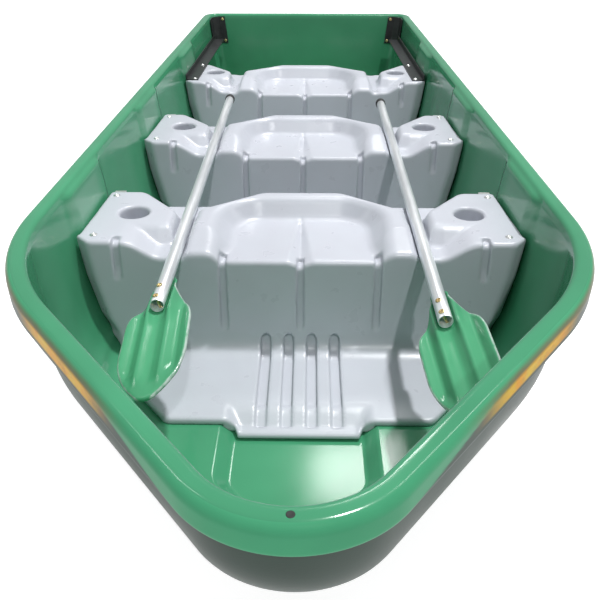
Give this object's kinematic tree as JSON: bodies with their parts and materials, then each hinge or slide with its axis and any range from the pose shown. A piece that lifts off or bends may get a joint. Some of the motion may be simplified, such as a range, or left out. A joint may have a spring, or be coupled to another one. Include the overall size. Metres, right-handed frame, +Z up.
{
  "type": "rowing boat",
  "caption": "Open rowing boat of moulded plastic with a rolled rim, flat transom, three moulded seats with floor pans, and two loose oars.",
  "frame": {"origin": "on the ground under the middle of the overall length and beam", "axes": "+Z up, bow towards -Y, transom towards +Y, port towards +X"},
  "size_m": [1.1796, 3.3, 0.436],
  "materials": {
    "hull_plastic": "glossy moulded polyethylene with a yellow streak below the rim",
    "seat_plastic": "satin moulded polyethylene",
    "blade_plastic": "moulded, pale worn edge",
    "shaft_aluminium": "drawn tube",
    "cap_rubber": "matt",
    "zinc_steel": "zinc plated",
    "black_steel": "black paint",
    "brass_screws": "plain"
  },
  "bodies": {
    "boat": {"hull": "hull_plastic", "front_seat": "seat_plastic", "middle_seat": "seat_plastic", "rear_seat": "seat_plastic", "front_rail_starboard": "zinc_steel", "front_screws_starboard": "brass_screws", "front_rail_port": "zinc_steel", "front_screws_port": "brass_screws", "middle_rail_starboard": "zinc_steel", "middle_screws_starboard": "brass_screws", "middle_rail_port": "zinc_steel", "middle_screws_port": "brass_screws", "rear_iron_starboard": "black_steel", "rear_screws_starboard": "brass_screws", "rear_iron_port": "black_steel", "rear_screws_port": "brass_screws", "stern_bracket_starboard": "black_steel", "stern_bolts_starboard": "zinc_steel", "stern_bracket_port": "black_steel", "stern_bolts_port": "zinc_steel"},
    "oar_starboard": {"oar_shaft_starboard": "shaft_aluminium", "oar_blade_starboard": "blade_plastic", "oar_cap_starboard": "cap_rubber", "oar_screws_starboard": "brass_screws"},
    "oar_port": {"oar_shaft_port": "shaft_aluminium", "oar_blade_port": "blade_plastic", "oar_cap_port": "cap_rubber", "oar_screws_port": "brass_screws"}
  },
  "joints": [
    {"name": "oar_starboard_lift", "type": "slide", "parent": "boat", "child": "oar_starboard", "axis": [0, 0, 1], "range_m": [0, 0.4]},
    {"name": "oar_port_lift", "type": "slide", "parent": "boat", "child": "oar_port", "axis": [0, 0, 1], "range_m": [0, 0.4]}
  ]
}
